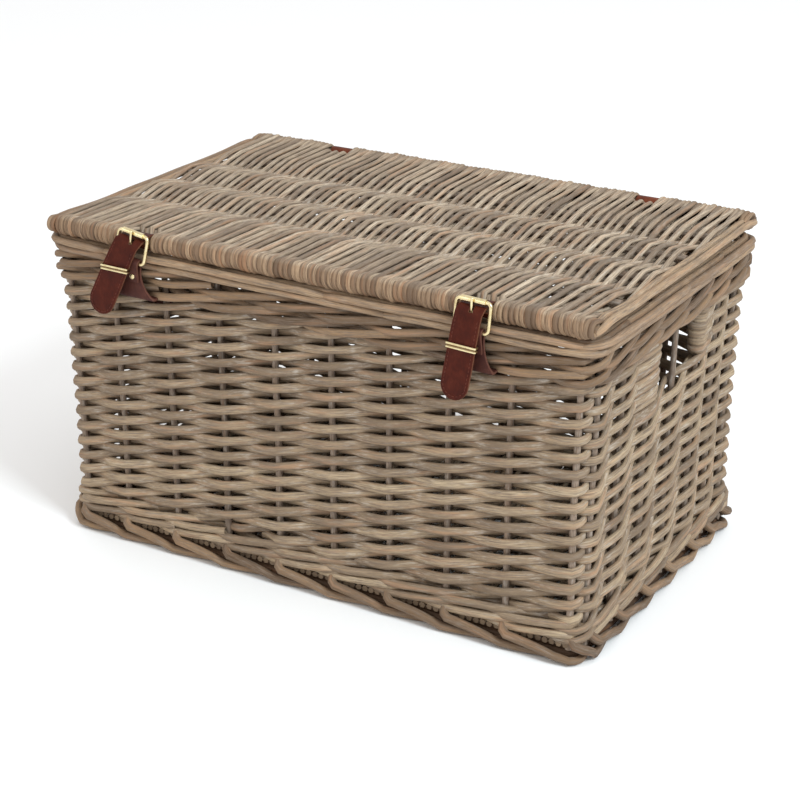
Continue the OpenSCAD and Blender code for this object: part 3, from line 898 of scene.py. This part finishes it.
def pulled_band(name, rows, holes=()):
    """A flat strip pulled out edge by edge: each row is (x, y, z, width, lean in degrees).

    Holes are (x0, half width, low z, high z, lean). The plane's two edges are first shaped
    far apart, so that each can be picked by its place, and then brought to their own rows.
    """
    bpy.ops.object.select_all(action="DESELECT")
    bpy.ops.mesh.primitive_plane_add(size=1, location=(0, 0, 0))
    piece = bpy.context.object
    piece.name = name
    bpy.ops.object.mode_set(mode="EDIT")
    bpy.ops.mesh.select_mode(type="VERT")
    for edge, (x, y, z, width, lean) in zip((-0.5, 0.5), rows):
        pick(piece, lambda co: co.y * edge > 0.2)
        bpy.ops.transform.resize(value=(width, 1, 1), center_override=(0, 0, 0))
        bpy.ops.transform.rotate(value=-radians(lean), orient_axis="Y", center_override=(0, edge, 0))
        bpy.ops.transform.translate(value=(x, y - edge + 9 * edge, z))
    pick(piece, lambda co: co.y > 0)
    bpy.ops.transform.translate(value=(0, -4.5, 0))
    pick(piece, lambda co: co.y < -2)
    bpy.ops.transform.translate(value=(0, 4.5, 0))
    pick(piece, lambda co: abs(co.y - rows[1][1]) < 1e-5 and abs(co.z - rows[1][2]) < 0.004)
    for (x0, y0, z0, w0, lean0), (x, y, z, width, lean) in zip(rows[1:], rows[2:]):
        bpy.ops.mesh.extrude_region_move(TRANSFORM_OT_translate={"value": (x - x0, y - y0, z - z0)})
        if abs(width / w0 - 1) > 1e-4:
            bpy.ops.transform.resize(value=(width / w0,) * 3, center_override=(x, y, z))
        if lean != lean0:
            turn = -radians(lean - lean0)
            bpy.ops.transform.rotate(value=turn, orient_axis="Y", center_override=(x, y, z))
    for x0, half, low, high, lean in holes:
        across = across_at(lean)

        def inside(co):
            aside = abs((co - Vector((x0, co.y, BEND_Z))).dot(across))
            return aside < half * 1.01 and low < co.z < high

        for way in (-1, 1):
            bpy.ops.mesh.select_all(action="SELECT")
            bpy.ops.mesh.bisect(plane_co=Vector((x0, 0, BEND_Z)) + across * way * half, plane_no=across)
        for level in (low, high):
            bpy.ops.mesh.select_all(action="SELECT")
            bpy.ops.mesh.bisect(plane_co=(0, 0, level), plane_no=(0, 0, 1))
        pick_faces(piece, lambda co: inside(co) and co.y < FRONT_PLY_Y)
        bpy.ops.mesh.delete(type="FACE")
        bpy.ops.mesh.select_mode(type="VERT")
    bpy.ops.object.mode_set(mode="OBJECT")
    return piece


def finish_leather(piece, rows, body, material, stands_for, thick=STRAP_T):
    """Gives a pulled strip its thickness, rounded edges and burnished rim."""
    wall = piece.modifiers.new("thickness", "SOLIDIFY")
    wall.thickness = thick
    wall.offset = 0
    wall.use_even_offset = True
    edges = piece.modifiers.new("rounded", "BEVEL")
    edges.width = 0.00055
    edges.segments = 2
    edges.limit_method = "ANGLE"
    edges.angle_limit = radians(50)
    apply_all(piece)
    bpy.ops.object.mode_set(mode="EDIT")
    bpy.ops.mesh.select_all(action="SELECT")
    bpy.ops.mesh.remove_doubles(threshold=1e-6)
    bpy.ops.mesh.normals_make_consistent(inside=False)
    bpy.ops.object.mode_set(mode="OBJECT")
    bpy.ops.object.shade_smooth_by_angle(angle=radians(40))
    even = piece.modifiers.new("even", "WEIGHTED_NORMAL")
    even.keep_sharp = True
    apply_all(piece)
    centres = [Vector(row[:3]) for row in rows]
    rim = []
    for face in piece.data.polygons:
        i = min(range(len(rows)), key=lambda j: (face.center - centres[j]).length)
        along = centres[min(i + 1, len(rows) - 1)] - centres[max(i - 1, 0)]
        outward = across_at(rows[i][4]).cross(along).normalized()
        rim.append(1.0 if abs(face.normal.dot(outward)) < 0.6 else 0.0)
    piece.data.attributes.new("rim", "FLOAT", "FACE").data.foreach_set("value", rim)
    piece.data.materials.append(material)
    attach(piece, body)
    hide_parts(*stands_for)
    return piece


def leaned(x0, y, z, lean):
    """A place on a leaning closure: turned about the middle of its roller."""
    a = radians(lean)
    return x0 + (z - BEND_Z) * sin(a), y, BEND_Z + (z - BEND_Z) * cos(a)


def lid_strap(side):
    """Round the lid's front stick, forward under the roller, over its bend and down to the rounded tip."""
    word = SIDES[side]
    x0, lean = side * STRAP_X, sum(LEANS[side])
    bend = LEANS[side][0]

    def drawn(z):
        """Narrow where the roller and the keeper hold the strap, fuller below."""
        pinch = 0.0006 * exp(-((z - KEEPERS[side][1]) / 0.006) ** 2)
        return STRAP_HELD + (STRAP_WIDE[side] - STRAP_HELD) * smooth((0.276 - z) / 0.030) - pinch

    def lean_at(z):
        return bend + (lean - bend) * smooth((0.2785 - z) / 0.006)

    rows = []
    for k in range(15):
        a = radians(190 + 260 * k / 14)
        rows.append((x0, -LID_Y + 0.0054 * cos(a), LID_Z + 0.0054 * sin(a), STRAP_HELD, 0))
    rows.append((x0, -0.1525, 0.27805, STRAP_HELD, 0))
    rows.append((x0, -0.1560, 0.27745, STRAP_HELD, bend * 0.7))
    end_z = STRAP_END[side]
    way = [(-0.1580, 0.27725), (-0.1604, 0.2770), (-0.16265, 0.27555), (-0.1640, 0.2731),
           (-0.16475, 0.2697), (-0.16535, 0.2655), (-0.1659, 0.2605), (-0.1664, 0.2555),
           (-0.16685, 0.2505), (-0.1672, 0.2450), (-0.1675, 0.2385), (-0.1681, 0.2315),
           (-0.1688, 0.2250), (-0.1694, end_z)]
    front = [(*leaned(x0, y, z, lean_at(z)), drawn(z), lean_at(z)) for y, z in way]
    end_w = front[-1][3]
    tip = []
    for k in range(1, 7):
        a = radians(14.2 * k)
        place = leaned(x0, -0.1694 - 0.0008 * sin(a), end_z - 0.012 * sin(a), lean)
        tip.append((*place, end_w * cos(a), lean))
    rows += front + tip
    slit_x = x0 + 0.0055 * (sin(radians(lean)) - sin(radians(bend)))
    piece = pulled_band(word + "_buckled_strap", rows, [(slit_x, 0.0017, 0.2738, 0.2776, bend)])
    finish_leather(piece, rows, word + "_lid_strap", strap_leather, (word + "_lid_strap",))
    sewn = []
    across = across_at(lean)
    inset = 0.0021
    for way in (-1, 1):
        sewn.append([Vector(row[:3]) + across * way * (row[3] / 2 - inset) for row in front[4:]])
    centre = Vector(front[-1][:3])
    bow = end_w / 2 - inset
    down = (centre - Vector(front[-2][:3])).normalized()
    turns = [pi * k / 20 for k in range(21)]
    sewn.append([centre + across * cos(a) * bow + down * sin(a) * bow for a in turns])
    outward = across.cross(down)
    outward = outward if outward.y < 0 else -outward
    lift = outward * (STRAP_T / 2 - 0.00005)
    stitch_seams(word + "_strap_stitches", sewn, lift, word + "_lid_strap")


def joined(made, name):
    """Joins the copies of a small part into one piece."""
    for part in made:
        part.select_set(True)
    bpy.context.view_layer.objects.active = made[0]
    bpy.ops.object.join()
    piece = bpy.context.object
    piece.name = name
    return piece


def stitch_seams(name, seams, lift, body):
    """Saddle stitches along each seam, each one modelled bead laid end to end with a small gap."""
    beads = []
    for seam in seams:
        length, place = 0.0, STITCH_START
        for a, b in zip(seam, seam[1:]):
            step = (b - a).length
            while place < length + step:
                beads.append((a.lerp(b, (place - length) / step) + lift, (b - a).normalized()))
                place += STITCH_STEP
            length += step
    bpy.ops.object.select_all(action="DESELECT")
    made = []
    for centre, way in beads:
        turn = way.to_track_quat("Z", "Y").to_euler()
        bpy.ops.mesh.primitive_uv_sphere_add(segments=6, ring_count=5, radius=1, location=centre,
                                             rotation=turn, scale=(0.00036, 0.00036, 0.00115))
        made.append(bpy.context.object)
    piece = joined(made, name)
    bpy.ops.object.transform_apply(location=True, rotation=True, scale=True)
    bpy.ops.object.shade_smooth()
    piece.data.materials.append(thread)
    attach(piece, body)


def body_strap(side):
    """Up out of the wall, flared where it leaves the weave, over the heel bar and down to its rivet."""
    word = SIDES[side]
    x0, lean = side * STRAP_X, LEANS[side][0]
    inside = ((-0.13265, 0.2140, 0.030), (-0.13265, 0.2200, 0.030), (-0.13265, 0.2262, 0.030),
              (-0.1345, 0.22765, 0.030), (-0.1450, 0.22765, 0.031), (-0.1560, 0.22765, 0.033),
              (-0.1580, 0.2284, 0.033))
    rows = [(x0, y, z, width, 0) for y, z, width in inside]

    def partly(y, z, width, share):
        px, py, pz = leaned(x0, y, z, lean)
        return x0 + (px - x0) * share, py, z + (pz - z) * share, width, lean * share

    flared = ((0.2300, 0.0318, 0.12), (0.2325, 0.0286, 0.25), (0.2360, 0.0254, 0.45),
              (0.2400, 0.0231, 0.65), (0.2445, 0.0214, 0.85), (0.2495, 0.0202, 1.0), (0.2545, TAB_W, 1.0))
    for z, width, share in flared:
        rows.append(partly(-0.1584, z, width, share))
    fold = [(HEEL[0] + 0.0026 * cos(pi * k / 10), HEEL[1] + 0.0026 * sin(pi * k / 10))
            for k in range(11)]
    fold += [(-0.1633, 0.2550), (-0.1624, 0.2515), (-0.1614, 0.2480), (-0.1608, 0.2450), (-0.16065, 0.2425)]
    for y, z in fold:
        rows.append((*leaned(x0, y, z, lean), TAB_W, lean))
    piece = pulled_band(word + "_buckle_tab", rows, [(x0, 0.0022, 0.2570, 0.2640, lean)])
    finish_leather(piece, rows, "basket", body_leather, (word + "_body_strap",), 0.0021)


def hinge_band(side):
    """A closed loop of leather round the lid's back stick and down round the rim."""
    word = SIDES[side]
    x0 = side * HINGE_X
    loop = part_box(word + "_hinge_loop")
    out_y, in_y, low = loop[1][1] - 0.00105, loop[0][1] + 0.00105, loop[0][2] + 0.00105
    way = [(out_y - 0.010, low), (out_y - 0.0014, low), (out_y - 0.0002, low + 0.0012)]
    way += [(out_y, low + h) for h in (0.004, 0.008, 0.012)]
    way.append((out_y - 0.0006, 0.2655))
    for k in range(11):
        a = radians(-8 + 188 * k / 10)
        way.append((LID_Y + 0.00515 * cos(a), LID_Z + 0.00515 * sin(a)))
    way += [(in_y + 0.0035, 0.2665), (in_y, 0.2625), (in_y, 0.2560), (in_y, low + 0.0016),
            (in_y + 0.0012, low), (out_y - 0.0102, low - 0.00001)]
    rows = [(x0, y, z, TAB_W, 0) for y, z in way]
    piece = pulled_band(word + "_hinge_band", rows)
    finish_leather(piece, rows, "basket", hinge_leather, (word + "_hinge_loop",), 0.0020)


def ridged_keeper(side):
    """A bent brass band with a ridge along each edge and a groove between them, round the strap."""
    word = SIDES[side]
    x, z, lean, wide = KEEPERS[side]
    centre = Vector((x, KEEPER_Y, z))
    bpy.ops.object.select_all(action="DESELECT")
    bpy.ops.mesh.primitive_cube_add(size=1, location=centre, scale=(wide, 0.0054, 0.0044))
    piece = bpy.context.object
    piece.name = word + "_ridged_keeper"
    bpy.ops.object.transform_apply(location=True, rotation=True, scale=True)
    bpy.ops.object.mode_set(mode="EDIT")
    bpy.ops.mesh.select_all(action="DESELECT")
    pick_faces(piece, lambda co: abs(co.z - z) > 0.002)
    bpy.ops.mesh.delete(type="ONLY_FACE")
    bpy.ops.mesh.select_mode(type="EDGE")
    shape = bmesh.from_edit_mesh(piece.data)
    for edge in shape.edges:
        edge.select_set(abs(edge.verts[0].co.z - edge.verts[1].co.z) > 0.001)
    bmesh.update_edit_mesh(piece.data)
    bpy.ops.mesh.bevel(offset=0.0014, segments=4, affect="EDGES")
    bpy.ops.mesh.select_mode(type="VERT")
    for level in (-0.0019, -0.0009, -0.0004, 0.0004, 0.0009, 0.0019):
        bpy.ops.mesh.select_all(action="SELECT")
        bpy.ops.mesh.bisect(plane_co=(0, 0, z + level), plane_no=(0, 0, 1))
    pick(piece, lambda co: abs(co.z - z) < 0.0005)
    bpy.ops.transform.resize(value=(0.960, 0.84, 1), center_override=centre)
    pick(piece, lambda co: abs(co.z - z) > 0.0021)
    bpy.ops.transform.resize(value=(0.968, 0.84, 1), center_override=centre)
    bpy.ops.mesh.select_all(action="SELECT")
    bpy.ops.mesh.normals_make_consistent(inside=False)
    bpy.ops.transform.rotate(value=-radians(lean), orient_axis="Y", center_override=centre)
    bpy.ops.object.mode_set(mode="OBJECT")
    wall = piece.modifiers.new("thickness", "SOLIDIFY")
    wall.thickness = 0.0005
    wall.offset = -1
    apply_all(piece)
    bpy.ops.object.shade_smooth_by_angle(angle=radians(28))
    upright = Vector((sin(radians(lean)), 0, cos(radians(lean))))
    # Faces near the middle of the band, in its groove, get painted shade.
    depths = [abs((face.center - centre).dot(upright)) for face in piece.data.polygons]
    painted_groove_shade = [max(0.0, min(1.0, 1.6 - 1500 * depth)) for depth in depths]
    piece.data.attributes.new("groove", "FLOAT", "FACE").data.foreach_set("value", painted_groove_shade)
    piece.data.materials.append(brass)
    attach(piece, word + "_keeper")
    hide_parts(word + "_keeper")


def rivet_heads():
    """Domed brass rivets through the two plies of each tab."""
    bpy.ops.object.select_all(action="DESELECT")
    made = []
    places = (Vector((-0.1535, -0.16235, 0.2468)), Vector(leaned(STRAP_X, -0.16195, 0.2445, LEANS[1][0])))
    for place in places:
        bpy.ops.mesh.primitive_circle_add(vertices=20, radius=0.0023, fill_type="NGON",
                                          location=place, rotation=(pi / 2, 0, 0))
        made.append(bpy.context.object)
        bpy.ops.object.mode_set(mode="EDIT")
        bpy.ops.mesh.extrude_region_move(TRANSFORM_OT_translate={"value": (0, -0.0004, 0)})
        for inset, lift in ((0.0005, 0.00035), (0.0006, 0.00022), (0.0006, 0.00010)):
            bpy.ops.mesh.inset(thickness=inset, depth=0)
            bpy.ops.transform.translate(value=(0, -lift, 0))
        bpy.ops.mesh.select_all(action="SELECT")
        bpy.ops.mesh.normals_make_consistent(inside=False)
        bpy.ops.object.mode_set(mode="OBJECT")
        bpy.ops.object.transform_apply(location=True, rotation=True, scale=True)
    piece = joined(made, "tab_rivet_heads")
    bpy.ops.object.shade_smooth()
    piece.data.materials.append(brass)
    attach(piece, "basket")
    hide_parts("body_strap_rivets")


rivet_heads()
for side in (-1, 1):
    lid_strap(side)
    body_strap(side)
    hinge_band(side)
    ridged_keeper(side)


# ---- floor, light and camera ----

bpy.ops.object.select_all(action="DESELECT")
bpy.ops.mesh.primitive_plane_add(size=8, location=(0, 0, 0))
floor = bpy.context.object
floor.name = "floor"
paper, _, shader = new_material("pale_floor")
shader.inputs["Base Color"].default_value = (0.9, 0.9, 0.9, 1)
shader.inputs["Roughness"].default_value = 0.9
floor.data.materials.append(paper)

world = bpy.data.worlds.new("studio")
scene.world = world
world.use_nodes = True
sky = world.node_tree.nodes["Background"]
sky.inputs["Color"].default_value = (1, 1, 1, 1)
sky.inputs["Strength"].default_value = 1.0


def lamp(name, place, aim, size, power):
    data = bpy.data.lights.new(name, "AREA")
    data.shape = "SQUARE"
    data.size = size
    data.energy = power
    light = bpy.data.objects.new(name, data)
    scene.collection.objects.link(light)
    light.location = place
    light.rotation_euler = (Vector(place) - Vector(aim)).to_track_quat("Z", "Y").to_euler()
    return light


lamp("key", (2.0, -0.75, 2.0), (0, 0, 0.12), 0.8, 56).data.color = (0.85, 0.95, 1.0)
lamp("fill", (-1.0, -2.0, 1.3), (0, 0, 0.12), 1.0, 6).data.color = (1.0, 0.9, 0.76)

AZIMUTH, ELEVATION = radians(30.75), radians(22.63)
level = cos(ELEVATION)
back = Vector((sin(AZIMUTH) * level, -cos(AZIMUTH) * level, sin(ELEVATION)))
right = Vector((cos(AZIMUTH), sin(AZIMUTH), 0))
up = back.cross(right)
data = bpy.data.cameras.new("camera")
data.sensor_width = 36
data.lens = 88.56
camera = bpy.data.objects.new("camera", data)
scene.collection.objects.link(camera)
stand = 0.472 * (-0.005 * right + 0.225 * up + 3.63 * back)
camera.matrix_world = Matrix.Translation(stand) @ Matrix((right, up, back)).transposed().to_4x4()
scene.camera = camera
scene.view_settings.view_transform = "Standard"

bpy.context.view_layer.update()
